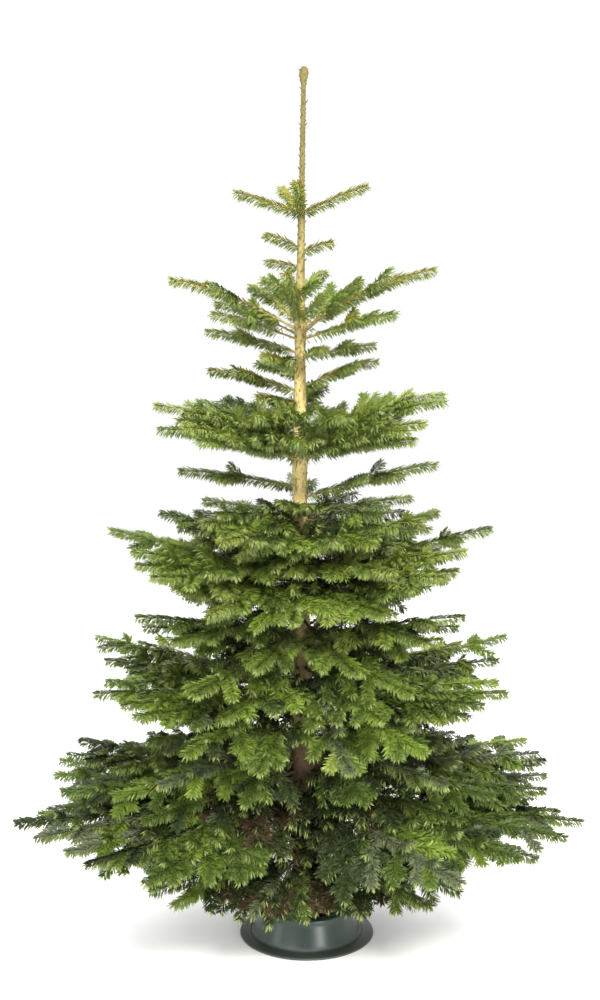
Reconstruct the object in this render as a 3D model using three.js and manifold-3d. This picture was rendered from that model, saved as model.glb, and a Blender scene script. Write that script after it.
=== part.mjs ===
// A cut fir about two metres tall, standing in its conical moulded stand.
// Millimetres and degrees. +Z is up and the origin is the centre of the stand's flat underside.
// Azimuth 0 is +X and azimuth 90 is +Y.

import * as THREE from 'three';
import { mergeVertices } from 'three/addons/utils/BufferGeometryUtils.js';
import Module from 'manifold-3d';

const wasm = await Module();
wasm.setup();

// Driving dimensions.

const CLEARANCE = 0.6; // between pieces that touch
const MITRE_LIMIT = 0.05; // keeps a sharp corner from running far out when a piece is grown

const STAND = {
  flangeRadius: 159,
  flangeThickness: 5,
  footRadius: 126,
  rimRadius: 109,
  mouthRadius: 95,
  height: 74,
  wall: 4,
  floor: 5,
  socketRadius: 42,
  socketWall: 4,
  socketHeight: 32,
  bevel: 1.5,
  bead: 9, // width of the raised bead on the flange, round the foot of the cone
  flare: 1.5, // how far the cone is hollowed inwards at half its height
  sides: 40,
};

const TRUNK = {
  foot: STAND.floor + CLEARANCE,
  sides: 8,
  bow: -16, // the stem bows this far towards -X and comes back
  bowLength: 2350,
  flare: 0.3, // how much it swells under each ring of boughs
  flareHeight: 22,
};

// Height and radius of the stem, from the flat cut to the crown of buds on the leader.
const TAPER = [
  [TRUNK.foot, 34],
  [90, 31],
  [370, 27],
  [700, 21.5],
  [1030, 16.5],
  [1330, 12.8],
  [1530, 9.6],
  [1640, 8],
  [1700, 6],
  [1968, 5],
  [1982, 9],
  [1996, 10.5],
  [2007, 4],
];

const LIMB = { baseRadius: 6.5, endRadius: 4.5, sides: 6, steps: 4 };

const MASS = {
  shoot: 18, // half the width of one needled shoot
  edge: 9, // half the thickness at the outer edge
  tip: 7, // half the size of the blunt end of a leading shoot
  base: 11, // half the width where the bough leaves the stem
  sweep: 48, // the angle between a side shoot and its bough
  sideShoot: 0.56, // length of a side bough over the length of bough beyond it
  notch: 0.5, // how far out the gaps between side boughs stop
  crown: 0.75, // how much of its depth stands above the bough
  keel: 1.25, // and hangs below it
  droop: 0.17, // how far the side boughs sink for each millimetre across
  fullStart: 0.3, // the foliage is fullest where this runs through a half, a third of the way out
  fullEnd: 0.92,
  unevenness: 0.16,
};

// Each tier of boughs, from the top. Years is the number of growth steps along a bough, depth is
// half the thickness of its foliage, and arch is how early it rises (1 is straight).
// A bough is [azimuth, height on the stem, reach, rise, length of bare limb].
const TIERS = [
  {
    name: 'ring_1',
    years: 1,
    depth: 18,
    arch: 1.1,
    boughs: [
      [350, 1685, 146, 57],
      [190, 1685, 146, 43],
      [265, 1685, 122, 50],
      [110, 1687, 132, 68],
    ],
  },
  {
    name: 'between_1',
    years: 1,
    depth: 16,
    arch: 1.5,
    boughs: [
      [195, 1607, 80, 27],
      [345, 1598, 70, 21],
      [170, 1565, 76, 14],
    ],
  },
  {
    name: 'ring_2',
    years: 2,
    depth: 24,
    arch: 1.4,
    boughs: [
      [190, 1424, 290, 111, 84],
      [348, 1424, 303, 130, 84],
      [264, 1424, 280, 108],
      [50, 1426, 225, 116],
      [125, 1426, 205, 106],
    ],
  },
  {
    name: 'between_2',
    years: 2,
    depth: 19,
    arch: 1.45,
    boughs: [
      [185, 1371, 208, 50],
      [352, 1362, 168, 28],
      [172, 1283, 208, 50],
      [5, 1292, 174, 62],
    ],
  },
  {
    name: 'ring_3',
    years: 3,
    depth: 29,
    arch: 1.6,
    boughs: [
      [183, 1132, 326, 122, 104],
      [357, 1132, 327, 146, 104],
      [222, 1130, 330, 84],
      [318, 1130, 312, 76],
      [270, 1128, 255, 60],
      [90, 1134, 320, 118],
    ],
  },
  {
    name: 'between_3',
    years: 2,
    depth: 23,
    arch: 1.4,
    boughs: [
      [188, 1065, 272, 42],
      [350, 1039, 310, 83],
      [160, 1000, 240, 26],
      [24, 1000, 288, 30],
    ],
  },
  {
    name: 'ring_4',
    years: 4,
    depth: 52,
    arch: 1.15,
    boughs: [
      [180, 853, 436, 112],
      [0, 853, 436, 116],
      [222, 850, 420, 52],
      [318, 850, 412, 50],
      [268, 850, 440, -10],
      [90, 856, 430, 122],
    ],
  },
  {
    name: 'between_4',
    years: 3,
    depth: 36,
    arch: 1.2,
    boughs: [
      [195, 715, 382, 66],
      [345, 715, 377, 66],
    ],
  },
  {
    name: 'ring_5',
    years: 5,
    depth: 62,
    arch: 1.05,
    boughs: [
      [155, 587, 567, 76],
      [25, 587, 561, 78],
      [203, 585, 492, 44],
      [337, 585, 484, 44],
      [248, 650, 430, -20],
      [292, 650, 430, -22],
      [90, 588, 520, 66],
    ],
  },
  {
    name: 'between_5',
    years: 4,
    depth: 50,
    arch: 1,
    boughs: [
      [225, 470, 430, -10],
      [315, 470, 430, -10],
    ],
  },
  {
    name: 'ring_6',
    years: 6,
    depth: 62,
    arch: 1,
    boughs: [
      [157, 346, 672, -8],
      [23, 346, 668, -8],
      [197, 344, 664, -6],
      [343, 344, 642, -6],
      [236, 344, 568, -30],
      [304, 344, 562, -32],
      [90, 346, 596, -4],
    ],
  },
  {
    name: 'ring_7',
    years: 4,
    depth: 52,
    arch: 0.8,
    boughs: [
      [228, 212, 420, -12],
      [312, 212, 404, -20],
      [270, 212, 345, -30],
      [90, 212, 420, 10],
    ],
  },
];

const BARK = { color: 0x8d7350, roughness: 0.9 };
const FOLIAGE = { color: 0x4b6b35, roughness: 0.85 };
const PLASTIC = { color: 0x2c3d35, roughness: 0.38 };

// Shared helpers.

const radians = THREE.MathUtils.degToRad;

// A repeatable stream of numbers from -1 to 1.
function unevenFrom(seed) {
  let state = seed * 2654435761 % 4294967296;
  return () => {
    state = (state * 1664525 + 1013904223) % 4294967296;
    return state / 2147483648 - 1;
  };
}

// The closed skin over a row of rings that all have the same number of corners.
function loft(rings) {
  const corners = rings[0].length;
  const positions = rings.flat().flatMap((point) => point.toArray());
  const index = [];
  for (let ring = 0; ring < rings.length - 1; ring += 1) {
    for (let corner = 0; corner < corners; corner += 1) {
      const a = ring * corners + corner;
      const b = ring * corners + (corner + 1) % corners;
      index.push(a, b, b + corners, a, b + corners, a + corners);
    }
  }
  const last = (rings.length - 1) * corners;
  for (let corner = 1; corner < corners - 1; corner += 1) {
    index.push(0, corner + 1, corner);
    index.push(last, last + corner, last + corner + 1);
  }
  const geometry = new THREE.BufferGeometry();
  geometry.setAttribute('position', new THREE.Float32BufferAttribute(positions, 3));
  geometry.setIndex(index);
  return geometry;
}

// A copy whose faces have all moved outwards by the clearance. Each corner takes the step that
// suits the faces round it best, which the weighted sum of their planes gives.
function grown(geometry) {
  const position = geometry.attributes.position;
  const sums = Array.from({ length: position.count }, () => ({
    planes: new THREE.Matrix3().identity().multiplyScalar(MITRE_LIMIT),
    push: new THREE.Vector3(),
  }));
  const face = new THREE.Triangle();
  const normal = new THREE.Vector3();
  const index = geometry.index.array;
  for (let first = 0; first < index.length; first += 3) {
    const corners = [index[first], index[first + 1], index[first + 2]];
    face.setFromAttributeAndIndices(position, ...corners);
    face.getNormal(normal);
    const { x, y, z } = normal;
    const plane = [x * x, x * y, x * z, x * y, y * y, y * z, x * z, y * z, z * z];
    corners.forEach((corner) => {
      plane.forEach((term, place) => {
        sums[corner].planes.elements[place] += term;
      });
      sums[corner].push.addScaledVector(normal, CLEARANCE);
    });
  }
  const copy = geometry.clone();
  sums.forEach(({ planes, push }, corner) => {
    push.applyMatrix3(planes.invert()).add(new THREE.Vector3().fromBufferAttribute(position, corner));
    copy.attributes.position.setXYZ(corner, push.x, push.y, push.z);
  });
  return copy;
}

function toSolid(geometry) {
  const bare = geometry.clone();
  bare.deleteAttribute('normal');
  bare.deleteAttribute('uv');
  const merged = mergeVertices(bare, 1e-4);
  return new wasm.Manifold(new wasm.Mesh({
    numProp: 3,
    vertProperties: Float32Array.from(merged.attributes.position.array),
    triVerts: Uint32Array.from(merged.index.array),
  }));
}

function toGeometry(solid) {
  const mesh = solid.getMesh();
  const geometry = new THREE.BufferGeometry();
  geometry.setAttribute('position', new THREE.BufferAttribute(mesh.vertProperties, 3));
  geometry.setIndex(new THREE.BufferAttribute(mesh.triVerts, 1));
  return geometry;
}

function largestBody(solid) {
  return solid.decompose().reduce((best, body) => (body.volume() > best.volume() ? body : best));
}

function boxesMeet(a, b) {
  return a.min.every((low, axis) => low < b.max[axis] && b.min[axis] < a.max[axis]);
}

const part = new THREE.Group();

function addMesh(name, geometry, look) {
  geometry.computeVertexNormals();
  const material = new THREE.MeshStandardMaterial({ ...look, metalness: 0 });
  const mesh = new THREE.Mesh(geometry, material);
  mesh.name = name;
  part.add(mesh);
}

// The stem.

function stemOffset(height) {
  return TRUNK.bow * Math.sin(Math.PI * height / TRUNK.bowLength);
}

function taperRadius(height) {
  const above = TAPER.findIndex(([level]) => level >= height);
  const [z1, r1] = TAPER[above];
  const [z0, r0] = TAPER[Math.max(above - 1, 0)];
  return z1 === z0 ? r1 : r0 + (r1 - r0) * (height - z0) / (z1 - z0);
}

const ringHeights = TIERS.filter(({ name }) => name.startsWith('ring')).map((tier) => tier.boughs[0][1]);

function stemRadius(height) {
  const swell = ringHeights.reduce(
    (sum, level) => sum + Math.exp(-(((height - level) / TRUNK.flareHeight) ** 2)), 0);
  return taperRadius(height) * (1 + TRUNK.flare * swell);
}

function stemRing(height) {
  return Array.from({ length: TRUNK.sides }, (_, side) => {
    const turn = 2 * Math.PI * side / TRUNK.sides;
    const radius = stemRadius(height);
    return new THREE.Vector3(
      stemOffset(height) + radius * Math.cos(turn), radius * Math.sin(turn), height);
  });
}

function stem() {
  const swellSteps = [-1.6, -0.5, 0.5, 1.6].map((step) => step * TRUNK.flareHeight);
  const heights = TAPER.map(([level]) => level)
    .concat(ringHeights.flatMap((level) => swellSteps.map((step) => level + step)))
    .sort((a, b) => a - b);
  return loft(heights.map((height) => stemRing(height)));
}

// Boughs. A point of a bough is given by its distance out, its distance across and its lift.

function boughFrame([azimuth, height, reach, rise], arch) {
  const out = new THREE.Vector3(Math.cos(radians(azimuth)), Math.sin(radians(azimuth)), 0);
  const across = new THREE.Vector3(-out.y, out.x, 0);
  const foot = new THREE.Vector3(stemOffset(height), 0, height);
  const start = stemRadius(height) / Math.cos(Math.PI / TRUNK.sides) + CLEARANCE;
  const lift = (distance) => rise * (1 - (1 - Math.min(distance / reach, 1)) ** arch);
  const point = (distance, sideways, up) => foot.clone()
    .addScaledVector(out, distance)
    .addScaledVector(across, sideways)
    .add(new THREE.Vector3(0, 0, lift(distance) + up));
  return { start, reach, point };
}

function limb(bough, arch) {
  const { start, point } = boughFrame(bough, arch);
  const end = bough[4];
  const rings = Array.from({ length: LIMB.steps }, (_, step) => {
    const share = step / (LIMB.steps - 1);
    const distance = THREE.MathUtils.lerp(start, end, share);
    const radius = THREE.MathUtils.lerp(LIMB.baseRadius, LIMB.endRadius, share);
    return Array.from({ length: LIMB.sides }, (_, side) => {
      const turn = 2 * Math.PI * side / LIMB.sides;
      return point(distance, radius * Math.cos(turn), radius * Math.sin(turn));
    });
  });
  return loft(rings);
}

// The foliage of one bough: a keeled blade whose side boughs, swept forward in pairs at every
// growth step, stand out as fingers with notches between them.
function foliage(bough, { years, depth, arch }, seed) {
  const { start, reach, point } = boughFrame(bough, arch);
  const uneven = unevenFrom(seed);
  const vary = () => 1 + MASS.unevenness * uneven();
  const first = (bough[4] ?? start) + CLEARANCE;
  const sweepX = 1 / Math.tan(radians(MASS.sweep));
  const sweepY = Math.sin(radians(MASS.sweep));
  const steps = 2 * years;
  const beyond = (step) => reach * (1 - step / steps) * MASS.sideShoot * sweepY;
  const rings = [];
  for (let step = 0; step <= steps; step += 1) {
    const share = step / steps;
    const end = step === 0 || step === steps;
    const finger = step % 2 === 0 ? beyond(step) : MASS.notch * beyond(step);
    const plainHalf = step === 0 ? MASS.base : MASS.tip;
    const half = () => (end ? plainHalf : Math.max(finger * vary(), MASS.shoot));
    const right = half();
    const left = half();
    const fullness = Math.sin(Math.PI * THREE.MathUtils.lerp(MASS.fullStart, MASS.fullEnd, share));
    const thick = end ? plainHalf : MASS.edge + (depth - MASS.edge) * fullness;
    const crown = thick * (end ? 1 : MASS.crown * vary());
    const keel = thick * (end ? 1 : MASS.keel * vary());
    const edge = end ? MASS.tip / 2 : MASS.edge;
    const distance = THREE.MathUtils.lerp(first, reach, share);
    const swept = (sideways) => Math.min(distance + sideways * sweepX, reach);
    rings.push([
      point(distance, 0, -keel),
      point(swept(left), left, -edge - MASS.droop * left),
      point(swept(left), left, edge - MASS.droop * left),
      point(distance, 0, crown),
      point(swept(right), -right, edge - MASS.droop * right),
      point(swept(right), -right, -edge - MASS.droop * right),
    ]);
  }
  return loft(rings);
}

// The stand: a flat flange, a flared cone with a rolled lip, and a socket for the stem.
function stand() {
  const s = STAND;
  const socketOuter = s.socketRadius + s.socketWall;
  const profile = [
    [0, 0],
    [s.flangeRadius - s.bevel, 0],
    [s.flangeRadius, s.bevel],
    [s.flangeRadius - s.bevel, s.flangeThickness],
    [s.footRadius + s.bead, s.flangeThickness + s.bevel],
    [s.footRadius + s.bead / 2, s.flangeThickness],
    [s.footRadius, s.flangeThickness + 2 * s.bevel],
    [(s.footRadius + s.rimRadius) / 2 - s.flare, s.height / 2],
    [s.rimRadius, s.height - 3 * s.bevel],
    [s.rimRadius - s.bevel, s.height - s.bevel],
    [s.rimRadius - 3 * s.bevel, s.height],
    [s.mouthRadius + s.bevel, s.height],
    [s.mouthRadius, s.height - s.bevel],
    [s.mouthRadius, s.height - s.wall],
    [s.rimRadius - s.wall, s.height - 2 * s.wall],
    [s.footRadius - s.wall, s.floor],
    [socketOuter, s.floor],
    [socketOuter, s.socketHeight],
    [s.socketRadius, s.socketHeight],
    [s.socketRadius, s.floor],
    [0, s.floor],
  ].map(([radius, height]) => new THREE.Vector2(radius, height));
  const lathe = new THREE.LatheGeometry(profile, s.sides);
  lathe.rotateX(Math.PI / 2); // the lathe turns about Y, and the stand is turned about Z
  return toGeometry(toSolid(lathe));
}

// Assembly. Each piece is cut back from a slightly larger copy of every piece placed before it.

const placed = [];

function place(name, geometry, look) {
  const solid = toSolid(geometry);
  const box = solid.boundingBox();
  const neighbours = placed.filter((other) => boxesMeet(box, other.boundingBox()));
  const cut = neighbours.reduce((body, other) => body.subtract(other), solid);
  addMesh(name, toGeometry(largestBody(cut)), look);
  placed.push(toSolid(grown(geometry)));
}

addMesh('stand', stand(), PLASTIC);
place('trunk', stem(), BARK);

TIERS.forEach((tier) => tier.boughs.filter((bough) => bough[4]).forEach((bough, number) => {
  place(`${tier.name}_limb_${number + 1}`, limb(bough, tier.arch), BARK);
}));

TIERS.forEach((tier, level) => tier.boughs.forEach((bough, number) => {
  const seed = 100 * level + number + 1;
  place(`${tier.name}_mass_${number + 1}`, foliage(bough, tier, seed), FOLIAGE);
}));

export default part;
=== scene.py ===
import math
import random

import bpy
import numpy as np
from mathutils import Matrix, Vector


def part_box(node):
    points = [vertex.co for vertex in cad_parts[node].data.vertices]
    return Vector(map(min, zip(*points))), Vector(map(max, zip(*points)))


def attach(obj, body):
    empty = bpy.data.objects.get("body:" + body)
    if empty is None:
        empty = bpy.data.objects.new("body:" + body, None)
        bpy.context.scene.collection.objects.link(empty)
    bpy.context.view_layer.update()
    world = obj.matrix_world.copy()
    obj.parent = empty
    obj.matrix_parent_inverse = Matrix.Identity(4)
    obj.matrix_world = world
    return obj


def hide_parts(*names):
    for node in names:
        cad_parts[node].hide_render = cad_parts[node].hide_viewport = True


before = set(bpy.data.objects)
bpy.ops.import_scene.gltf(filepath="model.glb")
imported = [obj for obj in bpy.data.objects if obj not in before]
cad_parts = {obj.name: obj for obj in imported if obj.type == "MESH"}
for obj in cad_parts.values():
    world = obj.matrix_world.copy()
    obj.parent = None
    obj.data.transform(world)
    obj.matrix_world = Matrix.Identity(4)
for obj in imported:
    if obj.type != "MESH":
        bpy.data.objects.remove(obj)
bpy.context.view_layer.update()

# A cut fir in its stand. Metres, +Z up, azimuths in degrees from +X towards +Y.
# Each bough of the frame is grown again from the stem by a seeded rule: a leading shoot with
# pairs of side shoots at every yearly step, needles all along them and buds on their tips.

UP = Vector((0, 0, 1))
EYE = Vector((-0.0157, -3.0, 1.35))  # where the camera stands
EYE_TILT = 6  # degrees that it looks down
GOLDEN_TURN = math.pi * (3 - math.sqrt(5))

# Heights at which the front boughs part and the stem shows, over a share of its thickness. The
# reach is how far from the middle a point can be and still be tested, the start how far in front.
STEM_GAPS = ((0.385, 0.465), (0.65, 0.675), (0.76, 0.785), (0.955, 0.975), (1.235, 1.27))
GAP_SHARE, GAP_REACH, GAP_START = 0.7, 0.06, 0.03

# How each tier of boughs grows: years of growth, how early a bough rises (1 is straight), the
# length without needles at the stem, how often a side shoot stands up out of the spray, how the
# tips of its shoots turn up, how its side shoots fall away, and the colours that it draws from.
TIER_KEYS = ("years", "arch", "bare", "upright", "tips", "fall", "palette")
TIERS = {tier: dict(zip(TIER_KEYS, values)) for tier, *values in (
    ("ring_1", 1, 1.1, 0.0, 0.0, 0.1, 0.0, "leader"),
    ("between_1", 1, 1.5, 0.0, 0.0, 0.0, 0.0, "crown"),
    ("ring_2", 2, 1.4, 0.05, 0.4, 0.1, -0.12, "crown"),
    ("between_2", 2, 1.45, 0.02, 0.3, 0.0, -0.06, "crown"),
    ("ring_3", 3, 1.6, 0.08, 0.5, 0.0, -0.16, "upper"),
    ("between_3", 2, 1.4, 0.03, 0.35, -0.1, 0.02, "upper"),
    ("ring_4", 4, 1.15, 0.06, 0.55, -0.2, 0.14, "bright"),
    ("between_4", 3, 1.2, 0.06, 0.45, -0.25, 0.14, "middle"),
    ("ring_5", 5, 1.05, 0.08, 0.6, -0.25, 0.14, "middle"),
    ("between_5", 4, 1.0, 0.08, 0.6, -0.25, 0.14, "lower"),
    ("ring_6", 6, 1.0, 0.1, 0.7, -0.15, 0.12, "lower"),
    ("ring_7", 4, 0.8, 0.07, 0.5, -0.35, 0.28, "lower"),
)}

# Boughs that the frame leaves out: each tier, then height, reach and rise in millimetres with the
# azimuths of the boughs that share them. A bough's seed follows from its place in this list.
EXTRA_BOUGHS = [
    ("between_1", (1512, 90, 45, 50)),
    ("ring_2", (1400, 230, 55, 215), (1410, 210, 78, 158), (1400, 250, 55, 326), (1410, 190, 108, 25)),
    ("between_2", (1330, 150, 35, 240), (1360, 100, 20, 300), (1310, 160, 40, 125), (1250, 150, 50, 70),
     (1255, 140, 20, 228)),
    ("ring_3", (1130, 330, 74, 200), (1135, 280, 121, 150), (1130, 310, 96, 212), (1125, 320, 60, 228),
     (1135, 300, 115, 120), (1130, 330, 132, 348), (1130, 300, 88, 335), (1125, 310, 59, 322),
     (1135, 300, 129, 40), (1140, 270, 100, 250, 290)),
    ("between_3", (1000, 260, 0, 215), (985, 310, -10, 238), (975, 270, -15, 262), (980, 310, -10, 300),
     (990, 260, 0, 325), (1030, 250, 40, 95)),
    ("ring_4", (900, 330, 98, 170), (852, 390, 80, 199), (850, 400, 62, 208), (820, 360, 48, 224),
     (900, 330, 96, 13), (852, 390, 84, 337), (835, 380, 60, 334), (820, 360, 50, 314),
     (856, 420, 118, 140), (856, 430, 122, 38), (900, 380, 20, 240, 300), (845, 430, 0, 245, 293)),
    ("between_4", (715, 360, 35, 190), (710, 350, 32, 208), (715, 360, 31, 353), (710, 360, 37, 328),
     (780, 380, -20, 225, 315), (770, 360, -50, 255), (765, 370, -50, 287), (710, 420, -40, 238, 303),
     (720, 360, 20, 60, 125)),
    ("ring_5", (600, 410, 73, 163), (588, 470, 56, 172), (585, 450, 37, 188), (580, 460, 38, 213),
     (575, 470, 36, 222), (600, 410, 68, 20), (588, 460, 63, 4), (585, 450, 33, 354),
     (580, 470, 43, 325), (575, 450, 25, 322), (588, 500, 70, 60, 122), (600, 450, -50, 238, 304),
     (585, 430, -60, 258, 283)),
    ("between_5", (460, 430, -39, 168), (500, 360, -16, 190), (460, 440, -46, 15), (500, 360, -10, 346),
     (500, 360, -70, 250, 292), (460, 450, 0, 50, 130)),
    ("ring_6", (360, 610, -11, 170), (350, 550, -13, 181), (346, 590, -17, 188), (342, 640, -8, 206),
     (338, 600, -13, 214), (335, 600, -11, 222), (360, 610, -22, 13), (350, 540, 0, 355),
     (346, 590, -24, 352), (342, 630, 0, 332), (338, 590, -30, 326), (335, 600, 3, 317),
     (346, 560, -10, 58, 122)),
    ("ring_7", (230, 380, -35, 195), (225, 400, -40, 212), (230, 370, -44, 345), (225, 400, -40, 328),
     (205, 330, -30, 250, 291)),
    ("between_4", (1000, 240, 20, 222, 318), (985, 220, 10, 252), (960, 240, 0, 282),
     (920, 270, -10, 268), (950, 260, 30, 80), (980, 240, 30, 115), (1000, 240, 30, 55)),
    ("between_5", (290, 340, 0, 90), (280, 340, 0, 65, 115)),
    ("between_4", (290, 220, -20, 240), (300, 220, -20, 300), (300, 240, -20, 205),
     (290, 240, -20, 335), (270, 170, -30, 272), (380, 240, -30, 262), (400, 240, -30, 290),
     (970, 290, 20, 150, 32), (965, 260, 10, 196, 344)),
    ("between_5", (500, 380, 0, 75, 106), (560, 340, 0, 90), (240, 300, 0, 78), (420, 460, -20, 205),
     (400, 440, -30, 219), (370, 420, -40, 229), (420, 460, -20, 335), (400, 440, -30, 321),
     (370, 420, -40, 311), (420, 420, 10, 155, 27)),
    ("ring_6", (405, 560, 15, 176), (400, 570, 20, 164), (395, 560, 0, 196), (405, 560, 15, 5),
     (400, 570, 20, 16), (395, 560, 0, 345), (370, 500, 0, 78, 102)),
    ("ring_4", (880, 400, 50, 75, 106)),
    ("between_4", (760, 380, 30, 90)),
    ("ring_5", (630, 460, 30, 80, 100)),
    ("ring_6", (300, 420, 0, 90)),
    ("between_3", (1005, 130, 30, 278), (1010, 120, 30, 250)),
    ("between_4", (810, 340, 0, 152), (820, 310, 0, 168), (810, 340, 0, 28), (820, 310, 0, 12)),
    ("ring_4", (930, 360, 60, 254, 281)),
    ("ring_7", (210, 400, 0, 45, 135)),
    ("between_4", (815, 360, 20, 72), (820, 360, 20, 104)),
    ("between_5", (360, 400, 0, 50)),
]

GROWTH = dict(
    side_share=(0.6, 0.6, 0.5),  # length of a side shoot over what lies beyond it, by order
    side_angle=50,
    angle_spread=7,
    length_spread=0.13,
    step_spread=0.03,
    spray_spread=0.16,  # how far a side shoot's colour may lie from its parent's
    forward_bend=0.35,
    tip_bend=1.5,
    wander=0.06,
    shortest=0.03,
    upright_from=0.06,  # least length beyond an upright shoot
    upright_share=(0.35, 0.6),
    upright_lean=0.9,
    upright_sway=0.5,
    small_shoots=0.42,  # chance of a small shoot on each side of an older step
    small_share=(0.32, 0.55),
    small_place=(0.3, 0.8),
    small_age=4,  # years after which a small shoot is two years old
    small_growth=0.3,
    orders=4,
    bearing=9,  # years back over which a shoot bears full side shoots
    tilt=0.12,
    roll=0.2,
    spray_roll=20,
)
MASS_BEARING, EXTRA_BEARING = 4, 3  # the same for a main bough, with a solid and without
EXTRA_SEED = 500  # a bough with a solid has a lower one

PATH = dict(start=0.4, sway=0.012, sag=0.010)  # of the stem's radius there, and of the reach
CAP = 0.0015  # depth of the end of a mass over which its middle is taken

TWIG = dict(tip=0.0009, taper=0.0058, sides=4)
BOUGH = dict(sides=8, swell=1.15)

NEEDLES = dict(
    count=550000,  # on the whole tree
    length=0.0245,
    width=0.0025,
    inner_width=1.5,  # how much wider they are deep in the crown
    piece=62000,  # at most in one piece
    top_angle=26,
    side_angle=50,
    under_angle=62,
    under_from=-0.6,  # how far down a needle leans before it shows its pale side
    parted_from=0.94,  # on the upper tiers none stand straighter up than this
    old_age=2.6,  # years after which a shoot starts to lose its needles
    bare_age=5.0,
    lost=0.8,  # the share of needles that an old shoot has lost
    bare_cover=0.12,  # the share that stands in each part
    inner_cover=0.42,
    usual_cover=0.72,
    turn=0.4,  # how much single needles differ
    lean=0.14,
    way=0.09,
    roll=0.9,
    long=(0.8, 1.12),
    wide=(0.85, 1.15),
    tip_zone=0.016,  # near a tip they lean forward and are shorter
    tip_lean=0.12,
    tip_short=0.3,
    top_short=0.22,
)
ALL_ROUND = 2.0  # past either end of how far up or down a needle can lean

# Buds: the chance, size and turn of the strong ones and of the others.
BUD = dict(length=0.0055, width=0.0034, chance=(0.45, 0.35), size=(1.15, 0.9), side_size=0.8, turn=0.9)
CROWN_BUDS = dict(count=7, below=0.011, apart=0.005, lean=1.6, size=1.6)
SCALES = dict(
    length=0.0080, width=0.0025, gap=0.0017, thinning=2.5, lowest=1.08, below_tip=0.02, sunk=0.85,
    lean=(0.9, 2.2), size=(0.5, 1.25),
)
# The stem's relief: depth of wrinkles and scars, how much deeper they are at the foot, the radius
# under which they fade, and the spacing, width and height of the scars.
RELIEF = dict(wrinkle=0.0010, scar=0.0006, foot=1.6, thin=0.006, gap=0.0024, wide=0.0032, tall=0.0038)

# Plain leaf colours, dealt out by spray: red, green, blue and roughness.
LEAF_COLOURS = {
    # deep is painted shade: the darkest green, dealt to the sprays inside the crown and to a share of
    # the lower ones, where shade falls.
    "deep": ((0.024, 0.036, 0.010), 0.6),
    "dry": ((0.042, 0.027, 0.012), 0.7),
    "grey": ((0.085, 0.105, 0.055), 0.6),
    "dark": ((0.050, 0.080, 0.012), 0.55),
    "mid": ((0.071, 0.110, 0.015), 0.5),
    "leaf": ((0.104, 0.154, 0.021), 0.5),
    "fresh": ((0.142, 0.206, 0.028), 0.45),
    # pale is a painted highlight: light greyish sprays that stand for the frosted sheen on lit needles.
    "pale": ((0.200, 0.250, 0.050), 0.5),
    "olive": ((0.225, 0.225, 0.030), 0.5),
    "under": ((0.155, 0.202, 0.054), 0.55),
}
INNER_COLOURS = ("deep", "dry")  # wider needles
COARSE_COLOURS = ("deep", "dry", "grey", "dark", "mid", "under")  # needles of two faces

# The share of sprays that take each colour, from the darkest to the lightest.
PALETTES = {
    "leader": dict(leaf=0.1, fresh=0.2, pale=0.05, olive=0.65),
    "crown": dict(dark=0.13, mid=0.2, leaf=0.27, fresh=0.15, pale=0.08, olive=0.17),
    "upper": dict(dark=0.08, mid=0.2, leaf=0.35, fresh=0.26, pale=0.11),
    "bright": dict(dark=0.06, mid=0.16, leaf=0.31, fresh=0.30, pale=0.17),
    "middle": dict(deep=0.05, dark=0.14, grey=0.02, mid=0.21, leaf=0.28, fresh=0.22, pale=0.08),
    "lower": dict(deep=0.18, grey=0.09, dark=0.27, mid=0.23, leaf=0.17, fresh=0.06),
    "side": dict(deep=0.1, grey=0.6, dark=0.2, mid=0.1),
    # inner and core are painted shade for the sprays inside the crown: mostly deep green; in core, dry
    # is the brown of dead needles.
    "inner": dict(deep=0.7, grey=0.05, dark=0.25),
    "core": dict(deep=0.62, dry=0.38),
}
UPPER_TIERS = ("leader", "crown", "upper")
CROWN_RADIUS = (0.70, -0.36)  # at the floor, and its change with height
# Sprays of the lower tiers inside this share get painted shade from the inner and core palettes, and
# fewer needles.
INNER_SHARE = 0.52  # of the crown's radius, inside which sprays are in the shade
EDGE_SHARE = 0.78  # beyond which the shoots' ends are fully needled
EDGE_TIP = 0.14  # and the length of those ends
SIDE_FROM = 0.46  # distance from the middle where the lowest boughs turn grey-green
SIDE_BELOW = 0.335  # and the height below which they do
# Below this height the painted shade inside the crown is partly the brown of dead needles.
CORE_BELOW = 0.38  # height below which the shaded sprays are partly dry
LEADER_TINT = 0.72  # the main shoots of the upper tiers draw from the lighter end

STRAW_TWIG, GREEN_TWIG, BROWN_TWIG = (0.13, 0.125, 0.033), (0.070, 0.078, 0.020), (0.055, 0.042, 0.022)
BUD_BROWN, SCALE_OLIVE = (0.19, 0.115, 0.036), (0.085, 0.085, 0.018)
WOOD_ROUGHNESS = 0.75
NEEDLE_SHINE = 0.22

# Pairs of colours are mixed by a noise or by height.
BARK = dict(
    straw=((0.34, 0.26, 0.085), (0.62, 0.50, 0.215)),
    tan=(0.15, 0.120, 0.036),
    leader=(0.078, 0.068, 0.018),
    brown=((0.075, 0.045, 0.028), (0.15, 0.10, 0.062)),
    shoot=((0.062, 0.072, 0.018), (0.23, 0.175, 0.050)),
    scar=(0.080, 0.058, 0.018),
    worn=(0.07, 0.055, 0.03),
)
PLASTIC = dict(green=((0.006, 0.019, 0.012), (0.012, 0.030, 0.021)), dust=(0.052, 0.054, 0.046))


# Node trees.

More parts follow.
